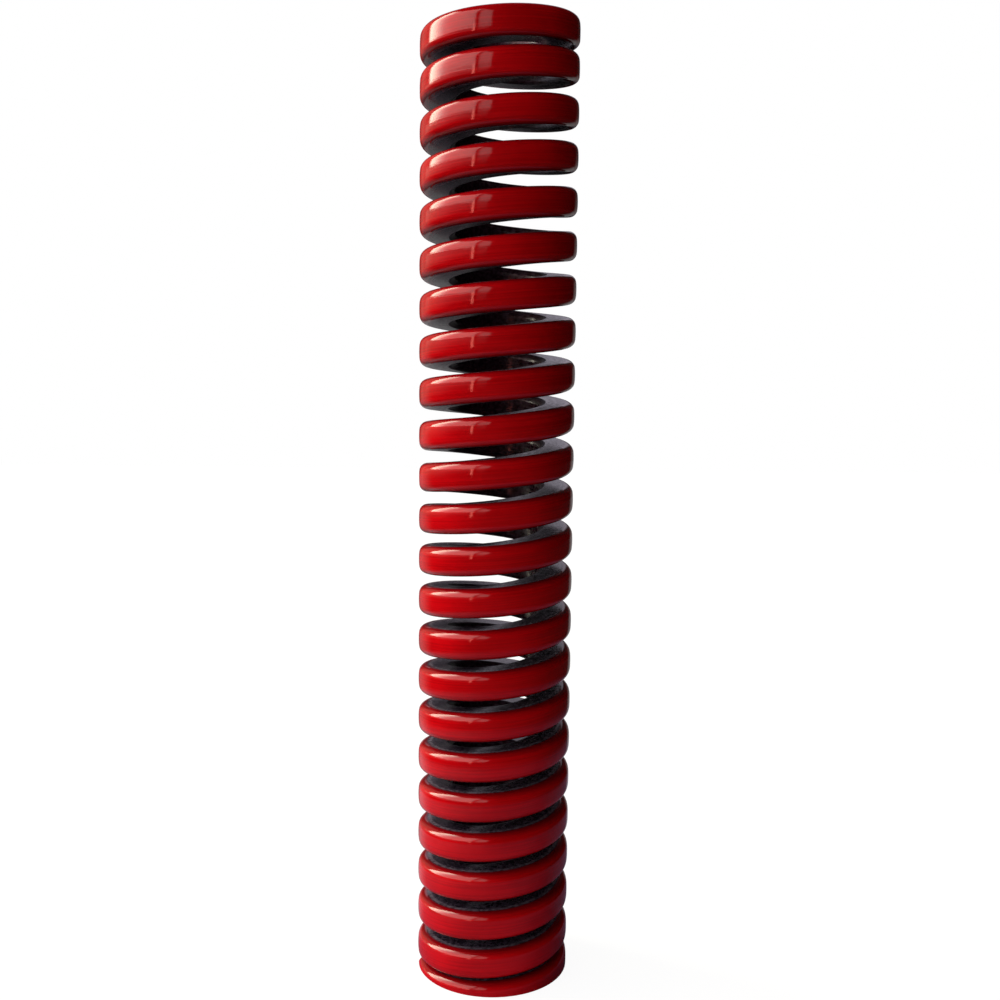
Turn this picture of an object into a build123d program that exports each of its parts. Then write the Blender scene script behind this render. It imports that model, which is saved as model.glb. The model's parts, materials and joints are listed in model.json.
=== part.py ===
from build123d import *

import math
import os

# A heavy-load die spring: one length of flattened spring wire, coiled right-handed on edge, with both
# ends closed and ground square. It works over a guide rod, inside a round pocket.
# Lengths are in millimetres. +Z runs up the coil's axis from the middle of the lower ground end.

# The coil as a whole. The clearances are on the diameter.
free_length = 152.0
pocket_diameter = 25.0
pocket_clearance = 0.3
guide_rod_diameter = 12.5
guide_rod_clearance = 0.9

# The wire's section: a rectangle lying flat, with its four corners broken.
wire_height = 4.62
corner_bevel = 0.75

# How the wire is wound, counted in turns from the lower tip. The end coils lie closed, and the gap
# between coils opens and closes smoothly on either side of the working ones, where it grows a little
# from the lower end to the upper.
turns = 23.87
lower_tip_azimuth = 184.0
closed_gap = 0.15
lower_closed_turns = 0.62
lower_opening_turns = 0.66
upper_closing_turns = 0.32
upper_closed_turns = 0.94
working_gap_growth = 0.25

# Grinding the ends square takes this share of the wire's height off each tip.
lower_ground_share = 0.8
upper_ground_share = 0.5

# The blank coil stands proud of both walls by this much, until they are trimmed to true cylinders.
wall_allowance = 0.6
rail_points_per_turn = 12
winding_steps_per_turn = 120

outer_radius = (pocket_diameter - pocket_clearance) / 2
inner_radius = (guide_rod_diameter + guide_rod_clearance) / 2
closed_pitch = wire_height + closed_gap
lower_tip_height = wire_height * (0.5 - lower_ground_share)
upper_tip_height = free_length - wire_height * (0.5 - upper_ground_share)


def eased(progress):
    """A smooth rise from 0 to 1, held at both ends."""
    progress = min(1.0, max(0.0, progress))
    return progress**2 * (3 - 2 * progress)


def openness(turn):
    """How open the coil is at a turn: 0 on the closed ends and about 1 on the working coils."""
    opening = eased((turn - lower_closed_turns) / lower_opening_turns)
    closing = eased((turns - upper_closed_turns - turn) / upper_closing_turns)
    growth = 1 + working_gap_growth * (turn / turns - 0.5)
    return opening * closing * growth


def opened_so_far():
    """The openness summed up from the lower tip, at evenly spaced steps along the wire."""
    count = math.ceil(turns * winding_steps_per_turn)
    step = turns / count
    total = [0.0]
    for i in range(count):
        total.append(total[-1] + openness((i + 0.5) * step) * step)
    return total


opened = opened_so_far()
working_gap = (upper_tip_height - lower_tip_height - closed_pitch * turns) / opened[-1]


def centre_height(turn):
    """Height of the wire's centre line, at a number of turns from the lower tip."""
    place = min(1.0, max(0.0, turn / turns)) * (len(opened) - 1)
    below = min(int(place), len(opened) - 2)
    opened_here = opened[below] + (opened[below + 1] - opened[below]) * (place - below)
    return lower_tip_height + closed_pitch * turn + working_gap * opened_here


def coil_point(turn, radius, rise):
    """A point carried round the axis by the wire, at a radius and a rise above its centre line."""
    azimuth = math.radians(lower_tip_azimuth) + math.tau * turn
    return Vector(radius * math.cos(azimuth), radius * math.sin(azimuth), centre_height(turn) + rise)


def coil_tangent(turn, radius):
    """The way such a point moves, for one turn of winding."""
    azimuth = math.radians(lower_tip_azimuth) + math.tau * turn
    climb = closed_pitch + working_gap * openness(turn)
    return Vector(-math.tau * radius * math.sin(azimuth), math.tau * radius * math.cos(azimuth), climb)


def rail(first_turn, last_turn, radius, rise):
    """The helical line that one corner of the section follows, over one stretch of the wire."""
    count = max(2, round((last_turn - first_turn) * rail_points_per_turn))
    at = [first_turn + (last_turn - first_turn) * i / count for i in range(count + 1)]
    points = [coil_point(turn, radius, rise) for turn in at]
    ends = [coil_tangent(first_turn, radius), coil_tangent(last_turn, radius)]
    return Edge.make_spline(points, tangents=ends, parameters=at, scale=False)


def section_corners():
    """The blank wire's corners as (radius, rise), anticlockwise, with its bevels run out past both walls."""
    half = wire_height / 2
    shoulder = half - corner_bevel - wall_allowance
    inner_proud = inner_radius - wall_allowance
    outer_proud = outer_radius + wall_allowance
    return [
        (inner_proud, -shoulder),
        (inner_radius + corner_bevel, -half),
        (outer_radius - corner_bevel, -half),
        (outer_proud, -shoulder),
        (outer_proud, shoulder),
        (outer_radius - corner_bevel, half),
        (inner_radius + corner_bevel, half),
        (inner_proud, shoulder),
    ]


def cut_face(turn):
    """The flat face across the wire, where it was sheared off."""
    points = [coil_point(turn, radius, rise) for radius, rise in section_corners()]
    return Face(Wire([Line(a, b).edge() for a, b in zip(points, points[1:] + points[:1])]))


def wound_blank():
    """The whole wire wound up, one turn after another, each side of its section a ruled helical face."""
    stops = [float(turn) for turn in range(math.ceil(turns))] + [turns]
    sides = []
    for first_turn, last_turn in zip(stops, stops[1:]):
        rails = [rail(first_turn, last_turn, radius, rise) for radius, rise in section_corners()]
        for here, beyond in zip(rails, rails[1:] + rails[:1]):
            sides.append(Face.make_surface_from_curves(here, beyond))
    return Solid(Shell(sides + [cut_face(0), cut_face(turns)]))


def working_envelope():
    """The tube that bounds the finished spring: its walls true the coil, and its ends grind it square."""
    base = (Align.CENTER, Align.CENTER, Align.MIN)
    return Cylinder(outer_radius, free_length, align=base) - Cylinder(inner_radius, free_length, align=base)


spring = wound_blank() & working_envelope()

os.makedirs("parts", exist_ok=True)
export_step(spring, "parts/die_spring.step")
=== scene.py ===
import json
import math

import bmesh
import bpy
from mathutils import Matrix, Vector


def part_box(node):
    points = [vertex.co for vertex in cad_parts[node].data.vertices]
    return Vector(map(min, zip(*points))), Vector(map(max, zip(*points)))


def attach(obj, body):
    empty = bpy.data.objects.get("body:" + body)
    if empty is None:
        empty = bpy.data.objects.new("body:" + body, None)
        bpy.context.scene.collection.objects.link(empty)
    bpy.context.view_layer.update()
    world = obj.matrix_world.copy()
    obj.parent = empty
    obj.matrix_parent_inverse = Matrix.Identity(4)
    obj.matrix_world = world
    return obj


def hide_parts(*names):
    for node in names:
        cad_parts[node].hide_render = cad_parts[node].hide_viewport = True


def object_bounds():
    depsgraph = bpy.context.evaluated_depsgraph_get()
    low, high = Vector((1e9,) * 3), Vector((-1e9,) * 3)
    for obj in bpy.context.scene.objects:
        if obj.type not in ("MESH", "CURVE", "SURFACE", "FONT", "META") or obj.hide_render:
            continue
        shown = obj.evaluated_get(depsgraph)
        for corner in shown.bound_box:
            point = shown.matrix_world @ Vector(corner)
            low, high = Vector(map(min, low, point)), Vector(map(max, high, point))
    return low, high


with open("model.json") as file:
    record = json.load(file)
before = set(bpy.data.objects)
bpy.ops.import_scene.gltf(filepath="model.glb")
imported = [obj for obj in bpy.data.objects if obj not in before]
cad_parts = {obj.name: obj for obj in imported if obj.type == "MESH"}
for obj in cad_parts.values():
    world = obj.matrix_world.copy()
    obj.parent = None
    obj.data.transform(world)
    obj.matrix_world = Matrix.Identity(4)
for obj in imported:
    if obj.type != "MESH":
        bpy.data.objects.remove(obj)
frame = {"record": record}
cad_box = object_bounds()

scene = bpy.context.scene
scene.view_settings.view_transform = "Standard"

# --- The camera -------------------------------------------------------------------------------------
# It stands close in front of the spring, a third of the way down from its top, and tips down a little,
# so that the upper coils are seen from below and the lower ones from above.
camera_distance = 0.1943
camera_height = 0.1004
camera_tip_degrees = -6.667
camera_roll_degrees = 0.543
camera_turn_degrees = -0.19
camera_lens_mm = 43.84

camera = bpy.data.objects.new("camera", bpy.data.cameras.new("camera"))
scene.collection.objects.link(camera)
camera.data.lens = camera_lens_mm
camera.data.clip_start = 0.01
camera.data.clip_end = 20
camera.matrix_world = (
    Matrix.Translation((0, -camera_distance, camera_height))
    @ Matrix.Rotation(math.radians(camera_turn_degrees), 4, "Z")
    @ Matrix.Rotation(math.radians(90 + camera_tip_degrees), 4, "X")
    @ Matrix.Rotation(math.radians(camera_roll_degrees), 4, "Z")
)
scene.camera = camera

# --- The light --------------------------------------------------------------------------------------
# A dark studio, made in the world's shader. A tall window stands to the left of the camera, with a lit wall
# beyond it, and a pale backdrop hangs behind the spring. A bar parts the window's wide pane, brightest
# towards its far side, from a narrow and dimmer one.


def feed(tree, socket, value):
    """Gives an input its plain value, or links it to another node's output."""
    if isinstance(value, bpy.types.NodeSocket):
        tree.links.new(value, socket)
    else:
        socket.default_value = value


def new_node(tree, kind, **settings):
    """A shader node, with its settings and its inputs given by name."""
    node = tree.nodes.new(kind)
    for name, value in settings.items():
        if name in node.inputs:
            feed(tree, node.inputs[name], value)
        else:
            setattr(node, name, value)
    return node


def calculate(tree, operation, *values):
    """One step of arithmetic on numbers or on other nodes' outputs."""
    node = new_node(tree, "ShaderNodeMath", operation=operation)
    for socket, value in zip(node.inputs, values):
        feed(tree, socket, value)
    return node.outputs[0]


def product(tree, *values):
    """Several numbers or outputs multiplied together."""
    result = values[0]
    for value in values[1:]:
        result = calculate(tree, "MULTIPLY", result, value)
    return result


def total(tree, *values):
    """Several numbers or outputs added together."""
    result = values[0]
    for value in values[1:]:
        result = calculate(tree, "ADD", result, value)
    return result


def ramp_between(tree, value, low, high, result_low=0.0, result_high=1.0):
    """A value that goes smoothly from one result to another as the input goes from low to high."""
    node = new_node(tree, "ShaderNodeMapRange", interpolation_type="SMOOTHSTEP")
    ends = {"Value": value, "From Min": low, "From Max": high, "To Min": result_low, "To Max": result_high}
    for name, end in ends.items():
        feed(tree, node.inputs[name], end)
    return node.outputs["Result"]


def inside(tree, value, low, high, softness):
    """1 where the value lies between low and high and 0 outside, with soft edges."""
    rise = ramp_between(tree, value, low - softness, low + softness)
    fall = ramp_between(tree, value, high - softness, high + softness, 1.0, 0.0)
    return product(tree, rise, fall)


def blend(tree, share, first, second):
    """A colour that goes from the first to the second as the share goes from 0 to 1."""
    node = new_node(tree, "ShaderNodeMix", data_type="RGBA", Factor=share)
    for name, colour in (("A", first), ("B", second)):
        feed(tree, node.inputs[name], (*colour, 1) if isinstance(colour, tuple) else colour)
    return node.outputs["Result"]


def parted(tree, vector):
    """A vector's three coordinates."""
    return new_node(tree, "ShaderNodeSeparateXYZ", Vector=vector).outputs


def bearing_of(tree, coordinates):
    """The bearing, in degrees, of a place or a direction."""
    to_the_left = product(tree, coordinates["X"], -1.0)
    to_the_front = product(tree, coordinates["Y"], -1.0)
    return calculate(tree, "DEGREES", calculate(tree, "ARCTAN2", to_the_left, to_the_front))


# Everything in the room has its place by bearing and by elevation, in degrees. A bearing is counted from
# straight in front of the spring, to the left.
world = bpy.data.worlds.new("studio")
world.use_nodes = True
scene.world = world
room = world.node_tree
room.nodes.clear()
towards = parted(room, new_node(room, "ShaderNodeTexCoord").outputs["Generated"])
bearing = bearing_of(room, towards)
off_the_front = calculate(room, "ABSOLUTE", bearing)
elevation = calculate(room, "DEGREES", calculate(room, "ARCSINE", towards["Z"]))
light_path = new_node(room, "ShaderNodeLightPath").outputs

# The window. Its sill and head run off in perspective, and a net curtain hangs in the narrow pane.
window_edge, head_edge = 1.0, 4.0
near_sill, far_sill, sill_runs = 11.2, 9.6, (60, 112)
near_head, far_head, head_runs = 30, 53, (8, 40)
wide_pane_from, wide_pane_brightens, wide_pane_fades = 35.0, (66, 113), (115, 122)
near_radiance, far_radiance, brightening_power = 1.75, 10.5, 2.5
narrow_pane, narrow_pane_dims = (12, 30.5), (26, 30)
narrow_near_radiance, narrow_far_radiance = 1.15, 0.75
curtain_fold, curtain_depth = 3.1, 0.12
sill_here = ramp_between(room, bearing, *sill_runs, near_sill, far_sill)
from_the_sill = calculate(room, "SUBTRACT", elevation, sill_here)
above_sill = ramp_between(room, from_the_sill, -window_edge, window_edge)
head_here = ramp_between(room, bearing, *head_runs, near_head, far_head)
from_the_head = calculate(room, "SUBTRACT", elevation, head_here)
below_head = ramp_between(room, from_the_head, -head_edge, head_edge, 1.0, 0.0)
brightening = calculate(room, "POWER", ramp_between(room, bearing, *wide_pane_brightens), brightening_power)
wide_pane_light = product(
    room,
    ramp_between(room, bearing, wide_pane_from - window_edge, wide_pane_from + window_edge),
    ramp_between(room, bearing, *wide_pane_fades, 1.0, 0.0),
    calculate(room, "MULTIPLY_ADD", brightening, far_radiance - near_radiance, near_radiance),
)
curtain = calculate(room, "SINE", product(room, bearing, math.tau / curtain_fold))
narrow_pane_light = product(
    room,
    inside(room, bearing, *narrow_pane, window_edge),
    ramp_between(room, bearing, *narrow_pane_dims, narrow_near_radiance, narrow_far_radiance),
    calculate(room, "MULTIPLY_ADD", curtain, curtain_depth, 1.0),
)
panes = product(room, total(room, wide_pane_light, narrow_pane_light), above_sill, below_head)

# Under the sill, but not below the bar, the light falls off towards the table.
under_sill_from, under_sill_fades, under_sill_depth = 16, (126, 134), 16
under_sill_grows, near_share, far_share = (30, 110), 0.6, 1.5
under_sill_radiance = 0.4
beside_the_bar = total(
    room,
    inside(room, bearing, under_sill_from, narrow_pane[1], window_edge),
    ramp_between(room, bearing, wide_pane_from - window_edge, wide_pane_from + window_edge),
)
under_sill = product(
    room,
    beside_the_bar,
    ramp_between(room, bearing, *under_sill_fades, 1.0, 0.0),
    ramp_between(room, bearing, *under_sill_grows, near_share, far_share),
    ramp_between(room, from_the_sill, -under_sill_depth, 0, 0.0, under_sill_radiance),
    ramp_between(room, from_the_sill, -window_edge, window_edge, 1.0, 0.0),
)

# Beyond the window the wall is dimly lit, and fades out behind the spring.
wall_begins, wall_brightens, wall_fades, wall_top = (60, 100), (108, 134), (144, 160), (40, 60)
wall_dim, wall_lit, wall_left_over = 0.1, 0.31, 0.12
wall = product(
    room,
    ramp_between(room, bearing, *wall_brightens, wall_dim, wall_lit),
    ramp_between(room, bearing, *wall_begins),
    ramp_between(room, bearing, *wall_fades, 1.0, wall_left_over),
    ramp_between(room, elevation, *wall_top, 1.0, 0.0),
)

# The backdrop hangs straight behind the spring, and its lit foot curves forward on the right.
backdrop_side, backdrop_height, backdrop_softness, backdrop_radiance = (164, 172), (10, 50), 5, 0.6
foot_width, foot_softness, foot_height, foot_left_over = (-170, -148), 6, 12, 0.1
foot_radiance = 0.2
backdrop = product(
    room,
    ramp_between(room, off_the_front, *backdrop_side),
    inside(room, elevation, *backdrop_height, backdrop_softness),
    backdrop_radiance,
)
backdrop_foot = product(
    room,
    inside(room, bearing, *foot_width, foot_softness),
    ramp_between(room, elevation, 0, foot_height, 1.0, foot_left_over),
    foot_radiance,
)

# Whatever is matt also gets a soft light from in front, from the left and from behind. No gloss mirrors it.
front_fill_at, front_fill_spread, front_fill_radiance, overhead_share = 10, 60, 0.34, 0.3
left_fill_width, left_fill_softness, left_fill_radiance = (90, 150), 25, 0.45
rear_fill_side, rear_fill_radiance = (105, 150), 0.4
off_the_fill = calculate(room, "ABSOLUTE", calculate(room, "SUBTRACT", bearing, front_fill_at))
front_fill = product(
    room,
    ramp_between(room, off_the_fill, 0, front_fill_spread, front_fill_radiance, 0.0),
    ramp_between(room, elevation, 0, front_fill_spread, 1.0, overhead_share),
)
left_fill = product(room, inside(room, bearing, *left_fill_width, left_fill_softness), left_fill_radiance)
rear_fill = ramp_between(room, off_the_front, *rear_fill_side, 0.0, rear_fill_radiance)
fill = product(room, total(room, front_fill, left_fill, rear_fill), light_path["Is Diffuse Ray"])

# The daylight turns yellower towards the far side of the window, and bluer on the backdrop.
near_daylight, far_daylight, daylight_turns = (1.0, 0.98, 0.96), (1.0, 0.95, 0.76), (80, 112)
dusk, dusk_side = (0.92, 0.85, 1.0), (162, 172)
darkest_radiance = 0.002
daylight = blend(room, ramp_between(room, bearing, *daylight_turns), near_daylight, far_daylight)
daylight_or_dusk = blend(room, ramp_between(room, off_the_front, *dusk_side), daylight, dusk)
room_light = new_node(
    room,
    "ShaderNodeBackground",
    Color=daylight_or_dusk,
    Strength=total(room, panes, under_sill, wall, backdrop, backdrop_foot, darkest_radiance, fill),
)

# A red blind glows in a strip beside the bar, from the foot of the window to its sill. It also gives the
# near half of the wide pane a warmer gloss.
blind_colour = (1.0, 0.27, 0.21, 1)
strip_width, strip_height = (wide_pane_from + 0.2, wide_pane_from + 3.4), (-6.5, near_sill + 1)
strip_side_softness, strip_end_softness, strip_radiance = 0.5, 0.8, 8.0
warmer_from, warmer_to, warmer_radiance = (34, 44), (78, 100), 1.4
strip = product(
    room,
    inside(room, bearing, *strip_width, strip_side_softness),
    inside(room, elevation, *strip_height, strip_end_softness),
    strip_radiance,
)
warmer_gloss = product(
    room,
    ramp_between(room, bearing, *warmer_from),
    ramp_between(room, bearing, *warmer_to, 1.0, 0.0),
    above_sill,
    below_head,
    light_path["Is Glossy Ray"],
    warmer_radiance,
)
blind_strength = total(room, strip, warmer_gloss)
blind_light = new_node(room, "ShaderNodeBackground", Color=blind_colour, Strength=blind_strength)

# The camera itself sees plain white behind the spring.
all_light = new_node(room, "ShaderNodeAddShader")
room.links.new(room_light.outputs[0], all_light.inputs[0])
room.links.new(blind_light.outputs[0], all_light.inputs[1])
white_background = new_node(room, "ShaderNodeBackground", Color=(1, 1, 1, 1), Strength=1.0)
room_or_white = new_node(room, "ShaderNodeMixShader", Fac=light_path["Is Camera Ray"])
room.links.new(all_light.outputs[0], room_or_white.inputs[1])
room.links.new(white_background.outputs[0], room_or_white.inputs[2])
new_node(room, "ShaderNodeOutputWorld", Surface=room_or_white.outputs[0])
world.cycles.sampling_method = "MANUAL"
world.cycles.sample_map_resolution = 1024

# --- The floor --------------------------------------------------------------------------------------
# A round sheet of card on a dark table. Painted light makes the card paler towards the window, and a painted
# shadow darkens it behind the spring. Far back, the foot of the wall glows on its left and that of the
# backdrop on its right.
# The lower coils mirror all that. Seen directly the whole floor is white, apart from the spring's faint
# shadow.
floor_half_width = 0.9
floor_drop = 0.00005
card_radius, card_softness = 0.13, 0.04
# Painted light: the card is paler on the window's side, the colour fading between two places along x.
card_painted_light_by_the_window = (0.38, 0.35, 0.48)
card_elsewhere = (0.15, 0.12, 0.22)
painted_light_fades_between_x = (-0.10, 0.01)
# Painted shadow: the card darkens to this colour behind the spring, between two bearings.
card_in_painted_shadow, painted_shadow_at, painted_shadow_depth = (0.05, 0.045, 0.06), (138, 156), 0.9
table_colour = (0.02, 0.02, 0.022)

floor_mesh = bpy.data.meshes.new("floor")
floor_shape = bmesh.new()
bmesh.ops.create_grid(floor_shape, x_segments=1, y_segments=1, size=floor_half_width)
floor_shape.to_mesh(floor_mesh)
floor_shape.free()
floor = bpy.data.objects.new("floor", floor_mesh)
scene.collection.objects.link(floor)
floor.location.z = cad_box[0].z - floor_drop

floor_finish = bpy.data.materials.new("card_on_table")
floor_finish.use_nodes = True
card = floor_finish.node_tree
card.nodes.clear()
where_on_floor = new_node(card, "ShaderNodeTexCoord").outputs["Object"]
place = parted(card, where_on_floor)
place_bearing = bearing_of(card, place)
floor_light_path = new_node(card, "ShaderNodeLightPath").outputs

# The colours of the card and the table, with painted light on the card towards the window and a painted
# shadow on it behind the spring.
distance = new_node(card, "ShaderNodeVectorMath", operation="LENGTH", Vector=where_on_floor).outputs["Value"]
card_edge = (card_radius - card_softness, card_radius + card_softness)
on_card = ramp_between(card, distance, *card_edge, 1.0, 0.0)
# Painted light: the card turns paler towards the window.
painted_light_falloff = ramp_between(card, place["X"], *painted_light_fades_between_x)
card_with_painted_light = blend(card, painted_light_falloff, card_painted_light_by_the_window, card_elsewhere)
card_or_table = blend(card, on_card, table_colour, card_with_painted_light)
# Painted shadow: the card darkens behind the spring.
painted_shadow_behind_the_spring = ramp_between(card, place_bearing, *painted_shadow_at, 0.0, painted_shadow_depth)
floor_with_painted_light_and_shadow = blend(card, painted_shadow_behind_the_spring, card_or_table, card_in_painted_shadow)
hidden_card = new_node(card, "ShaderNodeBsdfDiffuse", Color=floor_with_painted_light_and_shadow)

# The glow of the wall's foot, of the backdrop's foot and, for matt surfaces alone, of the floor in front.
wall_foot_side, wall_foot_radiance, wall_foot_left_over = (104, 134), 0.25, 0.3
floor_fill_spread, floor_fill_radiance = 60, 0.32


def lit_stretch(width, softness, radiance):
    """The glow of one stretch of the surroundings, between two bearings."""
    return product(card, inside(card, place_bearing, *width, softness), radiance)


wall_foot = product(
    card,
    ramp_between(card, place_bearing, *wall_foot_side, 0.0, wall_foot_radiance),
    ramp_between(card, place_bearing, *wall_fades, 1.0, wall_foot_left_over),
)
far_left = lit_stretch(width=(164, 176), softness=2, radiance=0.2)
far_right = lit_stretch(width=(-176, -168), softness=1, radiance=0.3)
right_foot = lit_stretch(width=(-170, -146), softness=6, radiance=0.28)
off_the_middle = calculate(card, "ABSOLUTE", place_bearing)
floor_fill = product(
    card,
    ramp_between(card, off_the_middle, 0, floor_fill_spread, floor_fill_radiance, 0.0),
    floor_light_path["Is Diffuse Ray"],
)
glow = total(card, wall_foot, far_left, far_right, right_foot, floor_fill)
lit_surroundings = new_node(card, "ShaderNodeEmission", Color=(1, 1, 1, 1), Strength=glow)
hidden_floor = new_node(card, "ShaderNodeAddShader")
card.links.new(hidden_card.outputs[0], hidden_floor.inputs[0])
card.links.new(lit_surroundings.outputs[0], hidden_floor.inputs[1])

# What the camera sees: white of its own, with a share that is lit and so takes the shadow.
white_strength = 1.12
lit_white_colour, shadow_share = (0.9, 0.9, 0.9, 1), 0.16
own_white = new_node(card, "ShaderNodeEmission", Color=(1, 1, 1, 1), Strength=white_strength)
lit_white = new_node(card, "ShaderNodeBsdfDiffuse", Color=lit_white_colour)
shadowed_white = new_node(card, "ShaderNodeMixShader", Fac=shadow_share)
card.links.new(own_white.outputs[0], shadowed_white.inputs[1])
card.links.new(lit_white.outputs[0], shadowed_white.inputs[2])
floor_surface = new_node(card, "ShaderNodeMixShader", Fac=floor_light_path["Is Camera Ray"])
card.links.new(hidden_floor.outputs[0], floor_surface.inputs[1])
card.links.new(shadowed_white.outputs[0], floor_surface.inputs[2])
new_node(card, "ShaderNodeOutputMaterial", Surface=floor_surface.outputs[0])
floor_mesh.materials.append(floor_finish)

# --- The die spring ---------------------------------------------------------------------------------
# One length of flattened spring steel, coiled right-handed on edge over a mandrel, with both ends closed
# and ground square. Red stove enamel was then sprayed on from outside and onto both ends.
spring_low, spring_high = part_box("die_spring")
free_length = spring_high.z - spring_low.z
outer_radius = (spring_high.x - spring_low.x) / 2
rod_bore = next(mount for mount in frame["record"]["mounts"] if mount["name"] == "rod_bore")
inner_radius = rod_bore["dims"]["r_mm"] / 1000
mean_radius = (outer_radius + inner_radius) / 2

# How the wire is wound, counted in turns from the lower tip. The end coils lie closed, and the gap opens
# and closes smoothly on either side of the working ones.
wire_height = 0.00462
turns = 23.87
lower_tip_azimuth = 184.0
closed_gap = 0.00015
lower_closed_turns = 0.62
lower_opening_turns = 0.66
upper_closing_turns = 0.32
upper_closed_turns = 0.94
working_gap_growth = 0.25
lower_ground_share = 0.8
upper_ground_share = 0.5
closed_pitch = wire_height + closed_gap
lower_tip_height = wire_height * (0.5 - lower_ground_share)
upper_tip_height = free_length - wire_height * (0.5 - upper_ground_share)

# The wire's outer face bows back towards each shoulder. A shoulder is given by that bow in degrees for a
# metre of rise, by its own rise, and by the tilt that the face has reached there. The lower half of the
# face lies flatter on the last two coils.
upper_shoulder = (3500, 0.00117, 7.8)
lower_shoulder = (3500, 0.00120, 8.0)
lower_shoulder_at_top = (1400, 0.00135, 2.5)
flatter_from_turn, flatter_by_turn = 21.2, 22.1
inner_corner_radius = 0.0011

# How finely it is modelled.
rings_per_turn = 72
face_steps = 4
corner_steps = 8
sharp_edge_degrees = 38


def eased(progress):
    """A smooth rise from 0 to 1, held at both ends."""
    progress = min(1.0, max(0.0, progress))
    return progress**2 * (3 - 2 * progress)


def openness(turn):
    """How open the coil is at a turn: 0 on the closed ends and about 1 on the working coils."""
    opening = eased((turn - lower_closed_turns) / lower_opening_turns)
    closing = eased((turns - upper_closed_turns - turn) / upper_closing_turns)
    return opening * closing * (1 + working_gap_growth * (turn / turns - 0.5))


def half_of_the_section(face_bow, shoulder_rise, shoulder_tilt):
    """Half of the wire's outline, from the middle of its outer face round to that of its inner face, as
    (radius, rise). The rounded outer corner takes over from the face at its shoulder."""

    def tilt(rise):
        share = rise / shoulder_rise
        return math.radians(face_bow * rise + (shoulder_tilt - face_bow * shoulder_rise) * share**3)

    half = [(outer_radius, 0.0)]
    step = shoulder_rise / face_steps
    for i in range(face_steps):
        half.append((half[-1][0] - step * math.tan(tilt((i + 0.5) * step)), (i + 1) * step))

    shoulder_radius = half[-1][0]
    first = math.radians(shoulder_tilt)
    rounding = (wire_height / 2 - shoulder_rise) / (1 - math.sin(first))
    for i in range(1, corner_steps + 1):
        angle = first + (math.pi / 2 - first) * i / corner_steps
        inset = rounding * (math.cos(first) - math.cos(angle))
        rise = shoulder_rise + rounding * (math.sin(angle) - math.sin(first))
        half.append((shoulder_radius - inset, rise))

    for i in range(corner_steps + 1):
        angle = math.pi / 2 * i / corner_steps
        inset = inner_corner_radius * (1 - math.sin(angle))
        drop = inner_corner_radius * (1 - math.cos(angle))
        half.append((inner_radius + inset, wire_height / 2 - drop))
    return half


def whole_section(lower_half_from):
    """The wire's whole outline as (radius, rise), anticlockwise, for one shape of its lower shoulder."""
    upper_half = half_of_the_section(*upper_shoulder)
    lower_half = half_of_the_section(*lower_half_from)
    return [(radius, -rise) for radius, rise in reversed(lower_half)][:-1] + upper_half


def lengthways(outline):
    """How far round the outline each of its points lies, and the whole way round."""
    reached = [0.0]
    for here, beyond in zip(outline, outline[1:] + outline[:1]):
        reached.append(reached[-1] + math.dist(here, beyond))
    return reached


ring_count = math.ceil(turns * rings_per_turn)
turn_step = turns / ring_count
opened = [0.0]
for i in range(ring_count):
    opened.append(opened[-1] + openness((i + 0.5) * turn_step) * turn_step)
working_gap = (upper_tip_height - lower_tip_height - closed_pitch * turns) / opened[-1]

section = whole_section(lower_shoulder)
section_at_top = whole_section(lower_shoulder_at_top)
girth = lengthways(section)
face_middle = girth[face_steps + 2 * corner_steps + 1]

# Winding. The surface is mapped in metres: U runs along the wire, and V round its section.
wire = bmesh.new()
wire_uv = wire.loops.layers.uv.new("along_the_wire")
rings = []
for i in range(ring_count + 1):
    turn = i * turn_step
    azimuth = math.radians(lower_tip_azimuth) + math.tau * turn
    height = lower_tip_height + closed_pitch * turn + working_gap * opened[i]
    flatter = eased((turn - flatter_from_turn) / (flatter_by_turn - flatter_from_turn))
    ring = []
    for usual, at_top in zip(section, section_at_top):
        radius = usual[0] + (at_top[0] - usual[0]) * flatter
        rise = usual[1] + (at_top[1] - usual[1]) * flatter
        ring.append(wire.verts.new((radius * math.cos(azimuth), radius * math.sin(azimuth), height + rise)))
    rings.append(ring)
for i, (ring, next_ring) in enumerate(zip(rings, rings[1:])):
    start = i * turn_step * math.tau * mean_radius
    end = (i + 1) * turn_step * math.tau * mean_radius
    for j in range(len(section)):
        k = (j + 1) % len(section)
        face = wire.faces.new((ring[j], next_ring[j], next_ring[k], ring[k]))
        corners = ((start, girth[j]), (end, girth[j]), (end, girth[j + 1]), (start, girth[j + 1]))
        for loop, corner in zip(face.loops, corners):
            loop[wire_uv].uv = corner
wire.faces.new(rings[0])
wire.faces.new(list(reversed(rings[-1])))
bmesh.ops.recalc_face_normals(wire, faces=wire.faces)

# Grinding: what stands past either end plane is cut away, and the cut is closed flat.
merge_distance = 1e-7
for plane_height, outwards in ((spring_low.z, -1), (spring_high.z, 1)):
    cut = bmesh.ops.bisect_plane(
        wire,
        geom=wire.verts[:] + wire.edges[:] + wire.faces[:],
        dist=merge_distance,
        plane_co=(0, 0, plane_height),
        plane_no=(0, 0, outwards),
        clear_outer=True,
    )
    rim = [piece for piece in cut["geom_cut"] if isinstance(piece, bmesh.types.BMEdge)]
    bmesh.ops.contextual_create(wire, geom=rim)


def is_ground(face):
    """Whether a face lies flat in one of the two end planes, to within a thousandth of a millimetre."""
    height = face.verts[0].co.z
    off_the_planes = min(abs(height - spring_low.z), abs(height - spring_high.z))
    return abs(face.normal.z) > 0.9999 and off_the_planes < 1e-6


def is_sheared(face):
    """Whether a face stands upright across the whole wire, at a tip. It has far more corners than others."""
    return len(face.verts) > 8 and abs(face.normal.z) < 0.5


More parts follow.
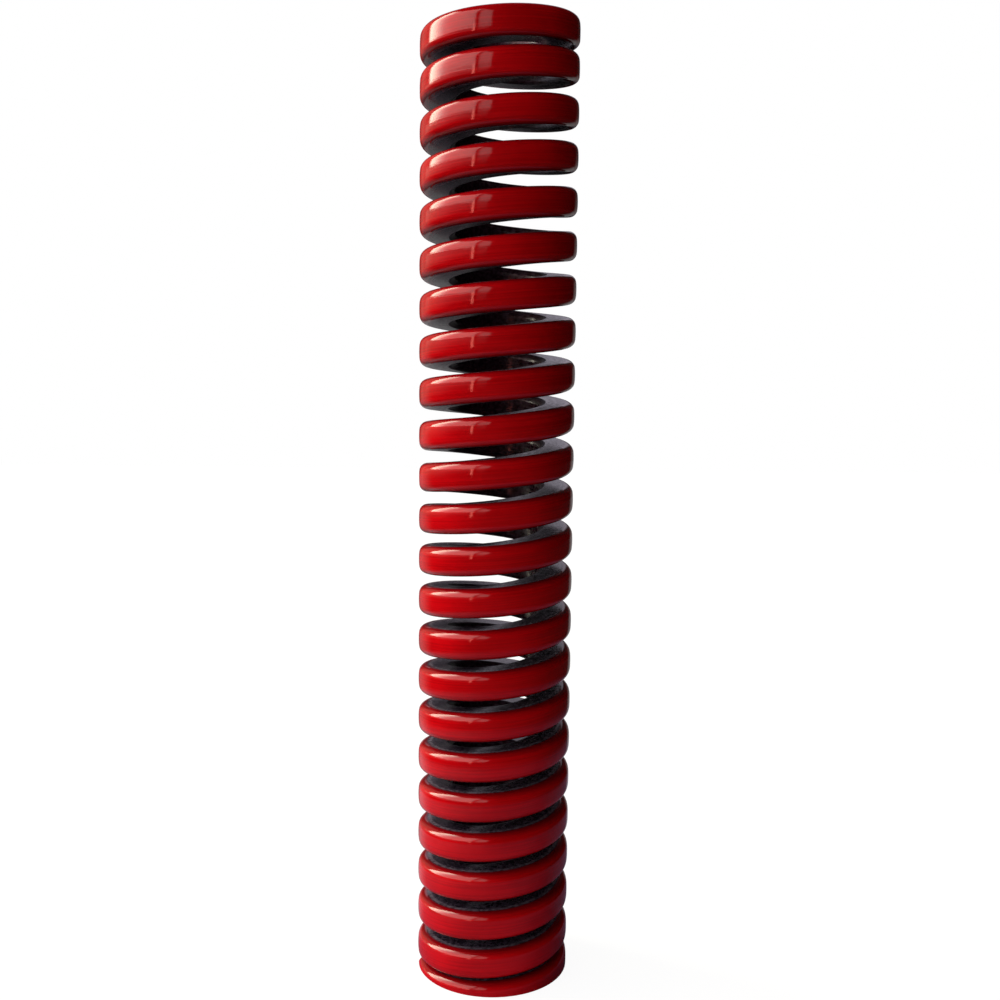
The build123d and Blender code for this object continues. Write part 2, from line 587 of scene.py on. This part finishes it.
# The ends and the tips have the second finish, and are mapped flat.
for face in wire.faces:
    face.smooth = True
    if is_ground(face) or is_sheared(face):
        face.material_index = 1
        for loop in face.loops:
            place_on_end = loop.vert.co
            loop[wire_uv].uv = (place_on_end.x, place_on_end.y if is_ground(face) else place_on_end.z)
for edge in wire.edges:
    edge.smooth = not (edge.is_manifold and edge.calc_face_angle() > math.radians(sharp_edge_degrees))

spring_mesh = bpy.data.meshes.new("wound_wire")
wire.to_mesh(spring_mesh)
wire.free()
spring = bpy.data.objects.new("wound_wire", spring_mesh)
scene.collection.objects.link(spring)
shading = spring.modifiers.new("even_shading", "WEIGHTED_NORMAL")
shading.keep_sharp = True

# The colours of the enamel and of the steel. The third red is painted shade on the rounded shoulders, and the
# third steel colour is a painted highlight along the flats' outer rim.
thin_red, deep_red, shoulder_shade_red = (0.57, 0.001, 0.004), (0.76, 0.002, 0.006), (0.13, 0.001, 0.003)
dark_steel, pale_steel, rim_highlight_steel = (0.015, 0.009, 0.018), (0.080, 0.055, 0.088), (0.20, 0.16, 0.20)

# Where the enamel changes on its way round the wire, as depths below the outer wall, above the bore, below
# the top plane and above the bottom one.
# A painted shade darkens the red on the rounded shoulders, between two distances from the face's middle.
shoulder_shade_above, shoulder_shade_below, shoulder_shade_share = (0.0012, 0.0028), (-0.0028, -0.0013), 0.8
# The second pair of depths below the outer wall holds the paler band of a painted highlight on the flats'
# outer rim.
outer_cover_ends, rim_highlight_between, rim_highlight_softness = (0.0015, 0.0010), (0.0020, 0.0014), 0.0002
ragged_by = 0.0003
bore_begins, bore_cover = (0.0003, 0.0009), 0.12
inner_edge, inner_edge_softness = (0.0001, 0.0010), 0.0002
top_cover_ends, bottom_cover_ends, facing_ends = (0.0032, 0.0026), (0.0010, 0.0016), (0.3, 0.6)

# How dull each surface is, and how much duller the others are than the enamel.
enamel_roughness, flats_duller = (0.06, 0.11), (0.06, 0.16)
bore_duller, inner_edge_duller = 0.06, 0.35

# The grain of each pattern, in cells to the metre, and the height of each step in the surface.
drawn_lines, ground_lines = (60, 3600), (250, 4200)
runs_grain, stains_grain, peel_grain, nibs_grain = 90.0, 1700.0, 1500.0, 700.0
line_step, peel_step, nib_step = 0.00006, 0.00002, 0.00003
line_strength, more_in_the_bore, peel_strength, nib_strength = 0.15, 0.85, 0.15, 0.5

# What part of each pattern's range counts, and how sparse and how wide the nibs are.
thickness_ends, line_ends, stain_ends, rim_highlight_shares = (0.75, 1.25), (0.3, 0.7), (0.35, 0.65), (0.4, 0.9)
nib_chance_ends, nib_radius = (0.86, 0.88), 0.12
enamel_ior = 1.5


def cloudy(tree, place, grain, detail):
    """A soft random pattern, between 0 and 1, of a given grain and detail."""
    return new_node(tree, "ShaderNodeTexNoise", Vector=place, Scale=grain, Detail=detail).outputs["Fac"]


def enamel_by_thickness(tree, runs, lines):
    """The enamel's red, deeper where it ran thicker and in the bottom of each line."""
    thickness = total(tree, runs, lines)
    return blend(tree, ramp_between(tree, thickness, *thickness_ends), thin_red, deep_red)


def shaded_on_the_shoulders(tree, where, enamel_red):
    """The enamel's red, made darker on the rounded shoulders: painted shade, where the rounded edges turn
    from the light.
    """
    from_middle = calculate(tree, "SUBTRACT", parted(tree, where.outputs["UV"])["Y"], face_middle)
    # Painted shade: the red darkens towards both shoulders.
    painted_shoulder_shade = total(
        tree,
        ramp_between(tree, from_middle, *shoulder_shade_above, 0.0, shoulder_shade_share),
        ramp_between(tree, from_middle, *shoulder_shade_below, shoulder_shade_share, 0.0),
    )
    return blend(tree, painted_shoulder_shade, enamel_red, shoulder_shade_red)


def above(start, depths):
    """The two ends of a ramp that lies above the bore or a plane by the given depths."""
    return (start + depths[0], start + depths[1])


def below(start, depths):
    """The two ends of a ramp that lies below the outer wall or a plane by the given depths."""
    return (start - depths[0], start - depths[1])


def sprayed_from_outside(tree, where, runs, enamel_red, gloss):
    """The colour, the roughness and the depth of the lines, over the whole wire. The enamel covers the
    outer face, its rounded edges and the flats that both ends show. It thins out between the coils and in
    the bore, where dark, stained steel shows."""
    spot = parted(tree, where.outputs["Object"])
    across = product(tree, spot["X"], spot["X"])
    along = product(tree, spot["Y"], spot["Y"])
    radius = calculate(tree, "SQRT", total(tree, across, along))
    ragged = calculate(tree, "MULTIPLY_ADD", runs, ragged_by, radius)
    facing_up = parted(tree, new_node(tree, "ShaderNodeNewGeometry").outputs["Normal"])["Z"]

    # Where the enamel reached.
    outer = ramp_between(tree, ragged, *below(outer_radius, outer_cover_ends))
    on_top = product(
        tree,
        ramp_between(tree, spot["Z"], *below(spring_high.z, top_cover_ends)),
        ramp_between(tree, facing_up, *facing_ends),
    )
    beneath = product(
        tree,
        ramp_between(tree, spot["Z"], *above(spring_low.z, bottom_cover_ends), 1.0, 0.0),
        ramp_between(tree, facing_up, -facing_ends[1], -facing_ends[0], 1.0, 0.0),
    )
    reached = calculate(tree, "MAXIMUM", outer, total(tree, on_top, beneath))
    in_the_bore = ramp_between(tree, radius, *above(inner_radius, bore_begins), 1.0, 0.0)
    cover = calculate(tree, "MINIMUM", calculate(tree, "MULTIPLY_ADD", in_the_bore, bore_cover, reached), 1.0)

    # The steel is mottled. Along the edge of the enamel it is paler: a painted highlight on the flats' outer
    # rim.
    stains = cloudy(tree, where.outputs["Object"], stains_grain, detail=3.0)
    stained = ramp_between(tree, stains, *stain_ends)
    steel = blend(tree, stained, dark_steel, pale_steel)
    # Painted highlight: a paler band of steel along the flats' outer rim, mixed with the stains.
    painted_rim_highlight = product(
        tree,
        inside(tree, ragged, *below(outer_radius, rim_highlight_between), rim_highlight_softness),
        ramp_between(tree, stained, 0.0, 1.0, *rim_highlight_shares),
    )
    steel_with_rim_highlight = blend(tree, painted_rim_highlight, steel, rim_highlight_steel)
    colour = blend(tree, cover, steel_with_rim_highlight, shaded_on_the_shoulders(tree, where, enamel_red))

    # The flats are duller than the enamel, and the bore's rounded edges duller still.
    on_the_flats = calculate(tree, "SUBTRACT", 1.0, calculate(tree, "MAXIMUM", reached, in_the_bore))
    on_inner_edge = inside(tree, radius, *above(inner_radius, inner_edge), inner_edge_softness)
    roughness = total(
        tree,
        gloss,
        product(tree, on_the_flats, ramp_between(tree, stained, 0.0, 1.0, *flats_duller)),
        product(tree, in_the_bore, bore_duller),
        product(tree, on_inner_edge, inner_edge_duller),
    )
    line_depth = calculate(tree, "MULTIPLY_ADD", in_the_bore, more_in_the_bore, line_strength)
    return colour, roughness, line_depth


def red_enamel(name, line_fineness, whole_wire):
    """Glossy stove enamel with orange peel, a few dust nibs, and the drawn or ground lines below it."""
    material = bpy.data.materials.new(name)
    material.use_nodes = True
    tree = material.node_tree
    where = new_node(tree, "ShaderNodeTexCoord")
    solid_place = where.outputs["Object"]

    # The lines run along the wire, so they are long in U and fine in V.
    stretch = new_node(tree, "ShaderNodeMapping", Vector=where.outputs["UV"], Scale=(*line_fineness, 1))
    lines = cloudy(tree, stretch.outputs[0], 1.0, detail=3.0)
    runs = cloudy(tree, solid_place, runs_grain, detail=3.0)
    colour = enamel_by_thickness(tree, runs, lines)
    roughness = ramp_between(tree, lines, *line_ends, *enamel_roughness)
    line_depth = line_strength
    if whole_wire:
        colour, roughness, line_depth = sprayed_from_outside(tree, where, runs, colour, roughness)

    peel = cloudy(tree, solid_place, peel_grain, detail=1.0)
    dust = new_node(tree, "ShaderNodeTexVoronoi", Vector=solid_place, Scale=nibs_grain).outputs
    nibs = product(
        tree,
        ramp_between(tree, dust["Distance"], 0.0, nib_radius, 1.0, 0.0),
        ramp_between(tree, dust["Color"], *nib_chance_ends),
    )
    bumpy = None
    for height, strength, step in (
        (lines, line_depth, line_step),
        (peel, peel_strength, peel_step),
        (nibs, nib_strength, nib_step),
    ):
        bump = new_node(tree, "ShaderNodeBump", Height=height, Strength=strength, Distance=step)
        if bumpy:
            tree.links.new(bumpy, bump.inputs["Normal"])
        bumpy = bump.outputs[0]

    enamel = tree.nodes["Principled BSDF"]
    enamel.inputs["IOR"].default_value = enamel_ior
    tree.links.new(colour, enamel.inputs["Base Color"])
    tree.links.new(roughness, enamel.inputs["Roughness"])
    tree.links.new(bumpy, enamel.inputs["Normal"])
    return material


spring_mesh.materials.append(red_enamel("red_enamel_on_drawn_wire", drawn_lines, whole_wire=True))
spring_mesh.materials.append(red_enamel("red_enamel_on_ground_end", ground_lines, whole_wire=False))

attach(spring, "root")
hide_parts("die_spring")
